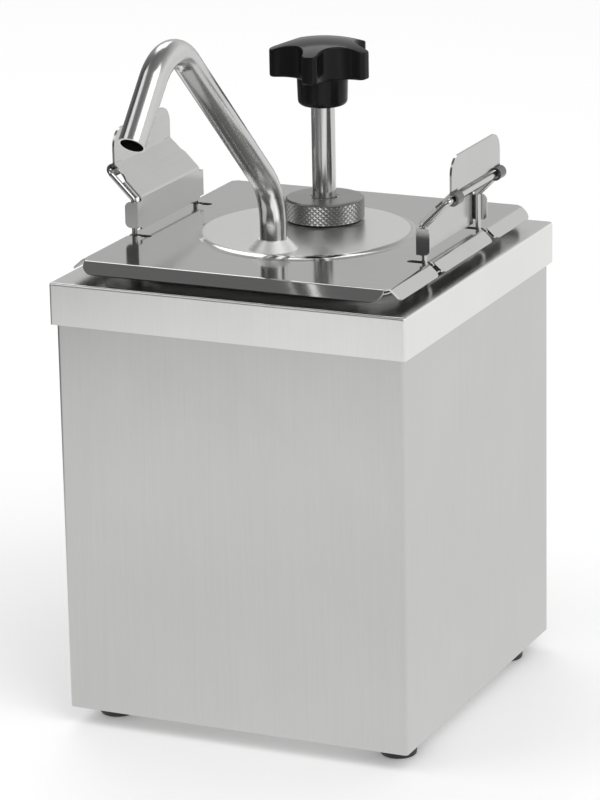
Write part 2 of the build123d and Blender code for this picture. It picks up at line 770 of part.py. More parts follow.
def make_knob():
    """Five-lobed knob with a crowned top and a tapered hub."""
    star_z = knob_foot_z + hub_height
    crown_radius = (knob_tip_radius**2 + knob_crown**2) / (2 * knob_crown)
    crown_z = star_z + knob_thickness + knob_crown - crown_radius
    star = extrude(Pos(0, 0, star_z) * knob_outline(), knob_thickness + 2 * knob_crown)
    star &= Pos(0, 0, crown_z) * Sphere(crown_radius)
    star = fillet(star.faces().sort_by(Axis.Z)[-1].edges(), knob_edge_radius)
    star = fillet(bottom_edges(star), knob_edge_radius)
    hub = Pos(0, 0, knob_foot_z) * Cone(hub_bottom_radius, hub_top_radius, hub_height, align=STANDING)
    knob = star + fillet(bottom_edges(hub), hub_edge_radius)
    knob -= disc(insert_radius + slip_fit, insert_length, knob_foot_z)
    return Pos(0, pump_y, 0) * Rot(0, 0, knob_lobe_angle) * knob


def make_knob_insert():
    """Threaded brass bush moulded into the knob, on the rod's upper stud."""
    return Pos(0, pump_y, 0) * washer(insert_radius, stud_radius + slip_fit, insert_length, knob_foot_z)


def make_bail():
    """Wire loop of the right side: through the lid's slots, out and up to the crossbar."""
    top_z = bail_bend_z + bail_top_out
    foot_z = rim_top_z + bail_foot_gap + bail_wire_radius
    bulge_x = bail_leg_x + bail_bulge_out
    bulge_top_z = lid_top_z - bail_bulge_top
    bulge_z = bulge_top_z - bail_bulge_out
    leg = [
        (bail_leg_x, foot_z),
        (bulge_x, foot_z + bail_bulge_out),
        (bulge_x, bulge_z),
        (bail_leg_x, bulge_top_z),
        (bail_leg_x, bail_bend_z),
        (bar_x, top_z),
    ]
    start = (bail_leg_x, bail_end_gap / 2, foot_z)
    finish = (bail_leg_x, -bail_end_gap / 2, foot_z)
    far_leg = [(x, bail_leg_y, z) for x, z in leg]
    near_leg = [(x, -bail_leg_y, z) for x, z in reversed(leg)]
    foot_bends = [bail_foot_bend_radius] * 4
    top_bends = [bail_bend_radius] * 4
    path = FilletPolyline(start, *far_leg, *near_leg, finish, radius=foot_bends + top_bends + foot_bends)
    section = Plane(origin=start, z_dir=(0, 1, 0)) * Circle(bail_wire_radius)
    return sweep(section, path=path)


def folded_sheet(path, width, middle_y=0):
    """Sheet whose middle line is given in XZ, as wide along Y as asked."""
    strip = extrude(Plane.XZ * trace(path, lever_sheet), width / 2, both=True)
    return Pos(0, middle_y, 0) * strip


def make_lever():
    """Lever plate of the right side: foot, sloping part, tab, curls, turned edges and ears."""
    foot = Vector(lever_x, lid_top_z + lever_floor_gap)
    first = Vector(lever_x, lever_slope_z(lever_x))
    second = Vector(lever_tab_x, lever_slope_z(lever_tab_x))
    tip = Vector(lever_tab_x, lid_top_z + lever_height)
    flare_low = first + (second - first) * flare_start
    flare_high = first + (second - first) * flare_end
    tab = folded_sheet(FilletPolyline(flare_high, second, tip, radius=lever_bend_radius), tab_width)
    tab = fillet(tab.edges().filter_by(Axis.X).group_by(Axis.Z)[-1], tab_corner_radius)
    lever = tab + make_flare(flare_low, flare_high)
    lower = FilletPolyline(foot, first, flare_low, radius=lever_bend_radius)
    lever += folded_sheet(lower, slope_width)
    lever += make_ears()
    for side in (-1, 1):
        lever += make_curl(side)
        lever += make_turned_edge(side, first, second)
    return lever


def make_flare(low, high):
    """Part of the sloping sheet that narrows upwards in an S-curve on each side."""
    run = high - low
    wide = slope_width / 2
    narrow = tab_width / 2
    along = (1, 0)
    side = Spline((0, wide), (run.length, narrow), tangents=[along, along])
    other_side = mirror(side, Plane.XZ)
    lower_end = Line((0, -wide), (0, wide))
    upper_end = Line((run.length, -narrow), (run.length, narrow))
    outline = make_face([side, upper_end, other_side, lower_end])
    place = Plane(origin=(low.X, 0, low.Y), x_dir=(run.X, 0, run.Y), z_dir=(-run.Y, 0, run.X))
    return extrude(place * outline, lever_sheet / 2, both=True)


def lever_slope_z(x):
    """Height of the sloping sheet's middle at x: it passes over the crossbar at 45 degrees."""
    return bail_bend_z + bail_top_out + (x - bar_x) + lever_bar_distance * math.sqrt(2)


def make_curl(side):
    """Curl of the right side's lever, from the sloping part over and round the crossbar."""
    bar = (bar_x, bail_bend_z + bail_top_out)
    arc = CenterArc(bar, lever_bar_distance, 135, curl_end_angle - 135)
    return folded_sheet(arc, curl_width, side * (tab_width - curl_width) / 2)


def make_ears():
    """Ears of the right side's lever, folded outwards beside the bail's legs."""
    inner_x = lever_x - lever_sheet / 2
    height = ear_high - ear_low
    ears = Pos(inner_x, 0, lid_top_z + ear_low) * Box(
        ear_reach + lever_sheet, lever_width, height, align=(Align.MIN, Align.CENTER, Align.MIN)
    )
    ears = fillet(ears.edges().filter_by(Axis.Y).group_by(Axis.X)[-1], ear_corner_radius)
    room = Box(ear_reach, lever_width - 2 * lever_sheet, height, align=(Align.MIN, Align.CENTER, Align.MIN))
    return ears - Pos(inner_x + lever_sheet, 0, lid_top_z + ear_low) * room


def make_turned_edge(side, first, second):
    """Narrow turned edge beside the sloping part of the right side's lever."""
    run = second - first
    length = run.length * (edge_end - edge_start)
    start = first + run * edge_start
    outline = Pos(length / 2, -edge_reach / 2) * Rectangle(length, edge_reach + lever_sheet)
    outline = fillet(outline.vertices().group_by(Axis.Y)[0], edge_reach / 2)
    place = Plane(origin=(start.X, 0, start.Y), x_dir=(run.X, 0, run.Y), z_dir=(0, -1, 0))
    edge = place * extrude(outline, lever_sheet / 2, both=True)
    return Pos(0, side * (slope_width - lever_sheet) / 2, 0) * edge


lower_seal_z, upper_seal_z = seal_heights()
right_bail = make_bail()
right_lever = make_lever()

nodes = {
    "housing_body": make_housing_body(),
    "rim_frame": make_rim_frame(),
    "base_plate": make_base_plate(),
    "foot_screws": Compound(at_feet(make_foot_screw())),
    "foot_nuts": Compound(at_feet(make_foot_nut())),
    "food_pan": make_food_pan(),
    "lid": make_lid(),
    "lid_gasket": make_lid_gasket(),
    "pump_mount_boss": make_pump_mount_boss(),
    "pump_barrel": make_pump_barrel(),
    "valve_body": make_valve_body(),
    "inlet_seat": make_inlet_seat(),
    "inlet_ball": make_inlet_ball(),
    "ball_retainer_pin": make_ball_retainer_pin(),
    "outlet_seat": make_outlet_seat(),
    "outlet_ball": make_outlet_ball(),
    "discharge_union": make_discharge_union(),
    "spout_tube": make_spout_tube(),
    "spout_cone": make_spout_cone(),
    "rod_guide_bush": make_rod_guide_bush(),
    "rod_wiper_seal": make_rod_wiper_seal(),
    "knurled_collar": make_knurled_collar(),
    "spring_seat_washer": make_spring_seat_washer(),
    "return_spring": make_return_spring(),
    "plunger_rod": make_plunger_rod(),
    "rod_stop_ring": make_rod_stop_ring(),
    "piston": make_piston(),
    "lower_piston_seal": make_piston_seal(lower_seal_z),
    "upper_piston_seal": make_piston_seal(upper_seal_z),
    "piston_nut": make_piston_nut(),
    "knob": make_knob(),
    "knob_insert": make_knob_insert(),
    "right_bail": right_bail,
    "left_bail": mirror(right_bail, Plane.YZ),
    "right_lever": right_lever,
    "left_lever": mirror(right_lever, Plane.YZ),
}
for name, (x, y) in foot_places().items():
    nodes[name] = Pos(x, y, 0) * make_foot()

front_reach = tube_radius * math.sin(math.radians(outlet_slope)) - spout_mouth().Y
origin_shift = (front_reach - housing_depth / 2) / 2

for name, piece in nodes.items():
    export_step(Pos(0, origin_shift, 0) * piece, f"parts/{name}.step")
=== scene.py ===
"""Countertop condiment dispenser: finishes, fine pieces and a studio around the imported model.

Every length is in metres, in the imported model's frame: +Z is up, +X is to the right and the spout
reaches out along -Y.
"""

import json
import logging
import math
from dataclasses import dataclass, replace
from enum import Enum

import bpy
from mathutils import Matrix, Vector

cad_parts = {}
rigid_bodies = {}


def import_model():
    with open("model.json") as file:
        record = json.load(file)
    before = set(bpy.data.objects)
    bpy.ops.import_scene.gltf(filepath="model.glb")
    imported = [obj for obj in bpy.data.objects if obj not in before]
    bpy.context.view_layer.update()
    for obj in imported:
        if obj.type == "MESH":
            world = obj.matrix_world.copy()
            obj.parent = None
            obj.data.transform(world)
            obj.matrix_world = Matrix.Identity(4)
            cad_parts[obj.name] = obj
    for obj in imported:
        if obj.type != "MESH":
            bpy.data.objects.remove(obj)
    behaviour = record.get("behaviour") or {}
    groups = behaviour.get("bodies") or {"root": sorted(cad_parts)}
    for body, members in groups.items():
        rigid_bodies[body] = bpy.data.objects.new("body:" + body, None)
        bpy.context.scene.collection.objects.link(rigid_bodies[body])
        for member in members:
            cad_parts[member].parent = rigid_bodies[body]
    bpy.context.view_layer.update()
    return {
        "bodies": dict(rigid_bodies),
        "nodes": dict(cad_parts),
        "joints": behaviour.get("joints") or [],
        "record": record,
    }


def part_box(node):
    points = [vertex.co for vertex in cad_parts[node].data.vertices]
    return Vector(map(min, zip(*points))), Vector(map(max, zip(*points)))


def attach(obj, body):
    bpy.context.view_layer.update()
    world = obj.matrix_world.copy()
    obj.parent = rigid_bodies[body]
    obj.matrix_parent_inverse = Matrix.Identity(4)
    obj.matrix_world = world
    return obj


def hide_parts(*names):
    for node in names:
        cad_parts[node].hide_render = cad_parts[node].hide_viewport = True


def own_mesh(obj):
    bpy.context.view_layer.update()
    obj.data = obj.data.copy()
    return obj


LOG = logging.getLogger("condiment_dispenser")
MM = 0.001
BUMP_DISTANCE = 0.1 * MM
NOISE_MIDDLE = 0.5
WHITE = (1.0, 1.0, 1.0, 1.0)
NODE = bpy.types.Node
SOCKET = bpy.types.NodeSocket


class Grain(Enum):
    """Direction along which a steel sheet was brushed, as a scale for its coordinates."""

    UPRIGHT = (1.0, 1.0, 0.015)
    ACROSS = (0.015, 1.0, 1.0)
    DEEP = (1.0, 0.015, 1.0)
    NONE = (1.0, 1.0, 1.0)


class NodeSheet:
    """Short ways to place and join the nodes of one node tree."""

    def __init__(self, tree: bpy.types.NodeTree) -> None:
        """Starts on an emptied tree.

        Args:
            tree: The node tree to fill.
        """
        self.tree = tree
        tree.nodes.clear()

    def add(self, kind: str, inputs: dict[str | int, object] | None = None, **settings: object) -> NODE:
        """Places one node.

        Args:
            kind: The node's Blender type.
            inputs: Sockets to link and values to set, by the input's label or number.
            **settings: Properties to set on it.

        Returns:
            The new node.
        """
        node = self.tree.nodes.new(kind)
        for name, value in settings.items():
            setattr(node, name, value)
        for label, value in (inputs or {}).items():
            if isinstance(value, SOCKET):
                self.tree.links.new(value, node.inputs[label])
            else:
                node.inputs[label].default_value = value
        return node

    def math(self, operation: str, first: object, second: object = 0.0) -> SOCKET:
        """Places a Math node.

        Args:
            operation: The node's operation, such as MULTIPLY.
            first: A socket or a number.
            second: A socket or a number.

        Returns:
            The node's output.
        """
        return self.add("ShaderNodeMath", {0: first, 1: second}, operation=operation).outputs[0]

    def ease(self, value: SOCKET, low: float, high: float,
             start: float = 0.0, end: float = 1.0) -> SOCKET:
        """Turns a value smoothly into another range.

        Args:
            value: The socket to read.
            low: Where the change begins.
            high: Where the change ends.
            start: The result below low.
            end: The result above high.

        Returns:
            The node's output.
        """
        span = {"From Min": low, "From Max": high, "To Min": start, "To Max": end}
        node = self.add("ShaderNodeMapRange", {"Value": value} | span, interpolation_type="SMOOTHSTEP")
        return node.outputs["Result"]

    def grey_mix(self, mask: SOCKET, first: float, second: float) -> SOCKET:
        """A number that goes from one value to another as a mask rises.

        Args:
            mask: A socket from 0 to 1.
            first: The number where the mask is 0.
            second: The number where the mask is 1.

        Returns:
            The node's output.
        """
        return self.math("ADD", self.math("MULTIPLY", mask, second - first), first)

    def noise(self, place: SOCKET, scale: object, **inputs: float) -> SOCKET:
        """Places a Noise Texture in three dimensions.

        Args:
            place: The coordinates to read.
            scale: A socket or a number.
            **inputs: Its Detail, Roughness or Distortion.

        Returns:
            The noise, around one half.
        """
        node = self.add("ShaderNodeTexNoise", {"Vector": place, "Scale": scale} | inputs)
        return node.outputs["Fac"]

    def split(self, place: SOCKET) -> tuple[SOCKET, SOCKET, SOCKET]:
        """Takes coordinates apart.

        Args:
            place: The coordinates.

        Returns:
            X, Y and Z.
        """
        return tuple(self.add("ShaderNodeSeparateXYZ", {"Vector": place}).outputs)

    def mix_shaders(self, mask: SOCKET, first: SOCKET, second: SOCKET) -> SOCKET:
        """Places a Mix Shader node.

        Args:
            mask: A socket from 0 to 1.
            first: The shader where the mask is 0.
            second: The shader where the mask is 1.

        Returns:
            The mixed shader.
        """
        return self.add("ShaderNodeMixShader", {0: mask, 1: first, 2: second}).outputs["Shader"]


class EffectGroups:
    """Shader node groups that several finishes share, each built once.

    Attributes:
        BAND_SHARE: Share of the broad bands in the brushing's change of tone.
        MARK_TURN: Turn of the hair-thin marks against the axes, in radians.
        MARK_STRETCH: Scale of their coordinates, which draws the noise out into hairs.
        MARK_EDGE: Values of the noise between which a mark begins to show.
        MARK_PATCHES: Values of a broad noise between which the marks' patches begin.
        LEVEL: Factors that take the height out of a vector.
    """

    BAND_SHARE = 0.55
    MARK_TURN = (0.3, 0.5, 0.8)
    MARK_STRETCH = (0.02, 1.0, 1.0)
    MARK_EDGE = (0.66, 0.70)
    MARK_PATCHES = (0.50, 0.60)
    LEVEL = (1.0, 1.0, 0.0)

    def __init__(self) -> None:
        """Builds every group."""
        self.brushing = self._build_brushing()
        self.mottle = self._build_mottle()
        self.turning = self._build_turning()
        self.scratches = self._build_scratches()
        self.round_zone = self._build_round_zone()

    @staticmethod
    def _group(name: str, numbers: dict[str, float], results: tuple[str, ...]
               ) -> tuple[bpy.types.NodeTree, NodeSheet, bpy.types.bpy_prop_collection]:
        """Starts a group with a vector input, named number inputs and named outputs.

        Args:
            name: The group's name.
            numbers: The number inputs with their defaults.
            results: The names of the outputs.

        Returns:
            The tree, its sheet and the sockets of its inputs by label.
        """
        tree = bpy.data.node_groups.new(name, "ShaderNodeTree")
        tree.interface.new_socket("Vector", in_out="INPUT", socket_type="NodeSocketVector")
        for label, value in numbers.items():
            socket = tree.interface.new_socket(label, in_out="INPUT", socket_type="NodeSocketFloat")
            socket.default_value = value
        for label in results:
            tree.interface.new_socket(label, in_out="OUTPUT", socket_type="NodeSocketFloat")
        sheet = NodeSheet(tree)
        return tree, sheet, sheet.add("NodeGroupInput").outputs

    def _build_brushing(self) -> bpy.types.NodeTree:
        """Fine drawn-out scratches with broader bands among them.

        Returns:
            A group that puts out the scratches' height and a slow change of tone.
        """
        numbers = {"Fine Scale": 2600.0, "Band Scale": 700.0}
        tree, sheet, given = self._group("Brushing", numbers, ("Height", "Tone"))
        fine = sheet.noise(given["Vector"], given["Fine Scale"], Detail=3.0, Roughness=0.65)
        band = sheet.noise(given["Vector"], given["Band Scale"], Detail=4.0)
        tone = sheet.math("ADD", sheet.math("MULTIPLY", band, self.BAND_SHARE),
                          sheet.math("MULTIPLY", fine, 1.0 - self.BAND_SHARE))
        sheet.add("NodeGroupOutput", {"Height": fine, "Tone": tone})
        return tree

    def _build_mottle(self) -> bpy.types.NodeTree:
        """Large soft patches, as wiping and handling leave on a surface.

        Returns:
            A group that puts out a mask around one half.
        """
        tree, sheet, given = self._group("Mottle", {"Patch Scale": 14.0}, ("Mask",))
        patch = sheet.noise(given["Vector"], given["Patch Scale"], Detail=5.0, Roughness=0.55,
                            Distortion=0.4)
        sheet.add("NodeGroupOutput", {"Mask": patch})
        return tree

    def _build_turning(self) -> bpy.types.NodeTree:
        """Rings that a lathe leaves on a turned face about the Z axis of its vector.

        Returns:
            A group that puts out the rings' height.
        """
        tree, sheet, given = self._group("Turning", {"Pitch Scale": 3000.0}, ("Height",))
        across, deep, _ = sheet.split(given["Vector"])
        squares = sheet.math("ADD", sheet.math("POWER", across, 2.0), sheet.math("POWER", deep, 2.0))
        radius = sheet.math("MULTIPLY", sheet.math("SQRT", squares), given["Pitch Scale"])
        rings = sheet.add("ShaderNodeTexNoise", {"W": radius, "Scale": 1.0}, noise_dimensions="1D")
        sheet.add("NodeGroupOutput", {"Height": rings.outputs["Fac"]})
        return tree

    def _build_scratches(self) -> bpy.types.NodeTree:
        """Sparse straight hair-thin marks from wiping, in patches.

        Returns:
            A group that puts out a mask, which is 1 on a mark.
        """
        numbers = {"Mark Scale": 900.0, "Patch Scale": 23.0}
        tree, sheet, given = self._group("Scratches", numbers, ("Mask",))
        stretch = {"Vector": given["Vector"], "Rotation": self.MARK_TURN, "Scale": self.MARK_STRETCH}
        drawn = sheet.add("ShaderNodeMapping", stretch).outputs["Vector"]
        hair = sheet.noise(drawn, given["Mark Scale"], Detail=1.0)
        where = sheet.noise(given["Vector"], given["Patch Scale"])
        mask = sheet.math("MULTIPLY", sheet.ease(hair, *self.MARK_EDGE),
                          sheet.ease(where, *self.MARK_PATCHES))
        sheet.add("NodeGroupOutput", {"Mask": mask})
        return tree

    def _build_round_zone(self) -> bpy.types.NodeTree:
        """Round area about the Z axis of its vector.

        Returns:
            A group that puts out a mask, which is 1 inside the radius.
        """
        numbers = {"Radius": 55.0 * MM, "Softness": 1.0 * MM}
        tree, sheet, given = self._group("Round Zone", numbers, ("Mask",))
        level = {0: given["Vector"], 1: self.LEVEL}
        flat = sheet.add("ShaderNodeVectorMath", level, operation="MULTIPLY").outputs["Vector"]
        length = sheet.add("ShaderNodeVectorMath", {0: flat}, operation="LENGTH")
        inside = sheet.math("SUBTRACT", given["Radius"], length.outputs["Value"])
        share = sheet.math("DIVIDE", inside, given["Softness"])
        mask = sheet.add("ShaderNodeClamp", {"Value": share}).outputs["Result"]
        sheet.add("NodeGroupOutput", {"Mask": mask})
        return tree


class MaterialSheet(NodeSheet):
    """The sheet of a material under construction.

    Attributes:
        material: The material.
        place: Its Object coordinates.
        groups: The shared effect groups.
    """

    def __init__(self, name: str, groups: EffectGroups | None = None) -> None:
        """Makes an empty material.

        Args:
            name: The material's name.
            groups: The shared effect groups, if it uses any.
        """
        self.material = bpy.data.materials.new(name)
        self.material.use_nodes = True
        self.groups = groups
        super().__init__(self.material.node_tree)
        self.place = self.add("ShaderNodeTexCoord").outputs["Object"]

    def patches(self, scale: float, change: float) -> SOCKET:
        """Large soft patches.

        Args:
            scale: How small the patches are.
            change: Their strength.

        Returns:
            A number around zero.
        """
        mask = self.effect(self.groups.mottle, self.place, {"Patch Scale": scale}).outputs["Mask"]
        return self.math("MULTIPLY", self.math("SUBTRACT", mask, NOISE_MIDDLE), change)

    def effect(self, tree: bpy.types.NodeTree, place: SOCKET, numbers: dict[str, float]) -> NODE:
        """Places a shared effect group.

        Args:
            tree: The group.
            place: Its coordinates.
            numbers: Values for its number inputs.

        Returns:
            The group's node.
        """
        return self.add("ShaderNodeGroup", {"Vector": place} | numbers, node_tree=tree)

    def centred(self, axis: tuple[float, float]) -> SOCKET:
        """Moves the Object coordinates to an upright axis.

        Args:
            axis: X and Y of the axis.

        Returns:
            Coordinates counted from the axis.
        """
        inputs = {"Vector": self.place, "Location": (-axis[0], -axis[1], 0.0)}
        return self.add("ShaderNodeMapping", inputs).outputs["Vector"]

    def principled(self, factor: object, shares: tuple[float, float, float], height: SOCKET,
                   depth: float, inputs: dict[str, object]) -> bpy.types.Material:
        """Ends the material with a tinted and bumped Principled shader.

        Args:
            factor: A number that scales the base colour.
            shares: Red, green and blue where that number is 1.
            height: The surface's fine relief.
            depth: Strength of the relief.
            inputs: Sockets and numbers for the shader's other inputs.

        Returns:
            The finished material.
        """
        labels = ("Red", "Green", "Blue")
        parts = {label: self.math("MULTIPLY", factor, share) for label, share in zip(labels, shares)}
        relief = {"Strength": depth, "Distance": BUMP_DISTANCE, "Height": height}
        looks = {
            "Base Color": self.add("ShaderNodeCombineColor", parts).outputs["Color"],
            "Normal": self.add("ShaderNodeBump", relief).outputs["Normal"],
        }
        self.surface(self.add("ShaderNodeBsdfPrincipled", looks | inputs).outputs["BSDF"])
        return self.material

    def surface(self, shader: SOCKET) -> None:
        """Sends a shader to the material's output.

        Args:
            shader: The shader.
        """
        self.add("ShaderNodeOutputMaterial", {"Surface": shader})


@dataclass(frozen=True)
class Zone:
    """Area of a sheet with another roughness and a painted tone, which stands in for sheen or shade
    there.

    Attributes:
        gain: Its tone as a share of the rest of the sheet's, a painted sheen above 1 and a painted shade
            below 1.
        roughness: Its roughness.
    """

    gain: float
    roughness: float

    def mask(self, sheet: MaterialSheet) -> SOCKET:
        """Places the zone's mask in a material.

        Args:
            sheet: The material's sheet.

        Returns:
            A socket that is 1 in the zone.
        """
        raise NotImplementedError


@dataclass(frozen=True)
class RoundZone(Zone):
    """Round area of a sheet with another roughness and a painted tone, such as a panel spun into it.

    Attributes:
        axis: X and Y of its middle.
        radius: Its radius.
    """

    axis: tuple[float, float]
    radius: float

    def mask(self, sheet: MaterialSheet) -> SOCKET:
        """Places the zone's mask, as Zone.mask says."""
        numbers = {"Radius": self.radius}
        return sheet.effect(sheet.groups.round_zone, sheet.centred(self.axis), numbers).outputs["Mask"]


@dataclass(frozen=True)
class UpperZone(Zone):
    """Everything above one height, such as a flat ledge over upright sides.

    Attributes:
        height: Where it begins.
        softness: Height over which it fades in.
    """

    height: float
    softness: float = 0.3 * MM

    def mask(self, sheet: MaterialSheet) -> SOCKET:
        """Places the zone's mask, as Zone.mask says."""
        _, _, height = sheet.split(sheet.place)
        return sheet.ease(height, self.height - self.softness, self.height)


@dataclass(frozen=True)
class CurlZone(Zone):
    """The stretch of a lever that curls round its wire, on both sides of the dispenser.

    Attributes:
        reach: X of the wire's crossbar, the same to the right and to the left.
        middle: Y of the lever's middle.
        start: How far from that middle the curls begin.
        height: Z of the crossbar.
        radius: Outer radius of the curl.
        fade: Width over which the zone ends outside the radius.
        inner_limit: Where the zone begins, counted outwards from the crossbar.
        inner_fade: Width over which it begins there.
        end_fade: Width over which it begins along the wire.
    """

    reach: float
    middle: float
    start: float
    height: float
    radius: float
    fade: float = 0.8 * MM
    inner_limit: float = -1.6 * MM
    inner_fade: float = 0.6 * MM
    end_fade: float = 0.2 * MM

    def mask(self, sheet: MaterialSheet) -> SOCKET:
        """Places the zone's mask, as Zone.mask says."""
        across, deep, height = sheet.split(sheet.place)
        out = sheet.math("SUBTRACT", sheet.math("ABSOLUTE", across), self.reach)
        rise = sheet.math("SUBTRACT", height, self.height)
        squares = sheet.math("ADD", sheet.math("POWER", out, 2.0), sheet.math("POWER", rise, 2.0))
        distance = sheet.math("SQRT", squares)
        near = sheet.ease(distance, self.radius, self.radius + self.fade, 1.0, 0.0)
        beyond = sheet.ease(out, self.inner_limit, self.inner_limit + self.inner_fade)
        along = sheet.math("ABSOLUTE", sheet.math("SUBTRACT", deep, self.middle))
        ends = sheet.ease(along, self.start - self.end_fade, self.start)
        return sheet.math("MULTIPLY", near, sheet.math("MULTIPLY", beyond, ends))


@dataclass(frozen=True)
class SteelFinish:
    """Stainless steel: brushed along one direction, satin or polished.

    Attributes:
        name: The material's name.
        tone: Base colour's grey.
        roughness: Middle of the roughness.
        grain: Direction of the brushing.
        fine_scale: How fine the scratches are.
        band_ratio: How much coarser the bands among them are.
        depth: Strength of the scratches' bump.
        tone_change: How much the scratches change the tone.
        patch_change: How much the patches change tone and roughness.
        patch_scale: How small the patches are.
        marks: How much darker the hair-thin marks are.
        zone: An area with another roughness and a painted sheen or shade.
        tint: Red, green and blue shares of the tone.
    """

    name: str
    tone: float
    roughness: float
    grain: Grain = Grain.NONE
    fine_scale: float = 2600.0
    band_ratio: float = 4.0
    depth: float = 0.05
    tone_change: float = 0.10
    patch_change: float = 0.06
    patch_scale: float = 14.0
    marks: float = 0.0
    zone: Zone | None = None
    tint: tuple[float, float, float] = (1.0, 1.0, 0.99)

    def build(self, groups: EffectGroups) -> bpy.types.Material:
        """Builds the material.

        Args:
            groups: The shared effect groups.

        Returns:
            The finished material.
        """
        sheet = MaterialSheet(self.name, groups)
        scales = {"Fine Scale": self.fine_scale, "Band Scale": self.fine_scale / self.band_ratio}
        drawn = sheet.add("ShaderNodeMapping", {"Vector": sheet.place, "Scale": self.grain.value})
        brushing = sheet.effect(groups.brushing, drawn.outputs["Vector"], scales)
        streaks = sheet.math("SUBTRACT", brushing.outputs["Tone"], NOISE_MIDDLE)
        change = sheet.math("ADD", sheet.math("MULTIPLY", streaks, 2 * self.tone_change),
                            sheet.patches(self.patch_scale, 2 * self.patch_change))
        if self.marks:
            scratches = sheet.effect(groups.scratches, sheet.place, {})
            loss = sheet.math("MULTIPLY", scratches.outputs["Mask"], self.marks)
            change = sheet.math("SUBTRACT", change, loss)
        tone = self.tone
        roughness = self.roughness
        # A zone's tone paints sheen or shade onto the steel; its roughness is the surface's own.
        if self.zone:
            mask = self.zone.mask(sheet)
            tone = sheet.grey_mix(mask, self.tone, self.tone * self.zone.gain)
            roughness = sheet.grey_mix(mask, self.roughness, self.zone.roughness)
        grey = sheet.math("MULTIPLY", sheet.math("ADD", change, 1.0), tone)
        rough = sheet.math("MULTIPLY", sheet.math("SUBTRACT", 1.0, change), roughness)
        return sheet.principled(grey, self.tint, brushing.outputs["Height"], self.depth,
                                {"Metallic": 1.0, "Roughness": rough})


@dataclass(frozen=True)
class TurnedFinish:
    """Steel or brass turned on a lathe about an upright axis.

    Attributes:
        name: The material's name.
        colour: Base colour.
        roughness: Middle of the roughness.
        axis: X and Y of the lathe's axis.
        ring_depth: Strength of the rings' bump.
        patch_scale: How small the patches are.
        patch_change: How much the patches change colour and roughness.
    """

    name: str
    colour: tuple[float, float, float]
    roughness: float
    axis: tuple[float, float] = (0.0, 0.0)
    ring_depth: float = 0.12
    patch_scale: float = 90.0
    patch_change: float = 0.3

    def build(self, groups: EffectGroups) -> bpy.types.Material:
        """Builds the material.

        Args:
            groups: The shared effect groups.

        Returns:
            The finished material.
        """
        sheet = MaterialSheet(self.name, groups)
        rings = sheet.effect(groups.turning, sheet.centred(self.axis), {}).outputs["Height"]
        factor = sheet.math("ADD", sheet.patches(self.patch_scale, self.patch_change), 1.0)
        rough = sheet.math("MULTIPLY", factor, self.roughness)
        return sheet.principled(factor, self.colour, rings, self.ring_depth,
                                {"Metallic": 1.0, "Roughness": rough})


@dataclass(frozen=True)
class MouldedFinish:
    """Moulded plastic or rubber.

    Attributes:
        name: The material's name.
        colour: Base colour.
        roughness: Middle of the roughness.
        texture_scale: How fine the mould's texture is.
        texture_depth: Strength of the texture's bump.
        specular: Strength of the plain gloss.
        patch_scale: How small the patches are.
        patch_change: How much the patches change colour and roughness.
    """

    name: str
    colour: tuple[float, float, float]
    roughness: float
    texture_scale: float = 900.0
    texture_depth: float = 0.08
    specular: float = 0.5
    patch_scale: float = 60.0
    patch_change: float = 0.5

    def build(self, groups: EffectGroups) -> bpy.types.Material:
        """Builds the material.

        Args:
            groups: The shared effect groups.

        Returns:
            The finished material.
        """
        sheet = MaterialSheet(self.name, groups)
        texture = sheet.noise(sheet.place, self.texture_scale, Detail=4.0)
        factor = sheet.math("ADD", sheet.patches(self.patch_scale, self.patch_change), 1.0)
        rough = sheet.math("MULTIPLY", factor, self.roughness)
        return sheet.principled(factor, self.colour, texture, self.texture_depth,
                                {"Specular IOR Level": self.specular, "Roughness": rough})


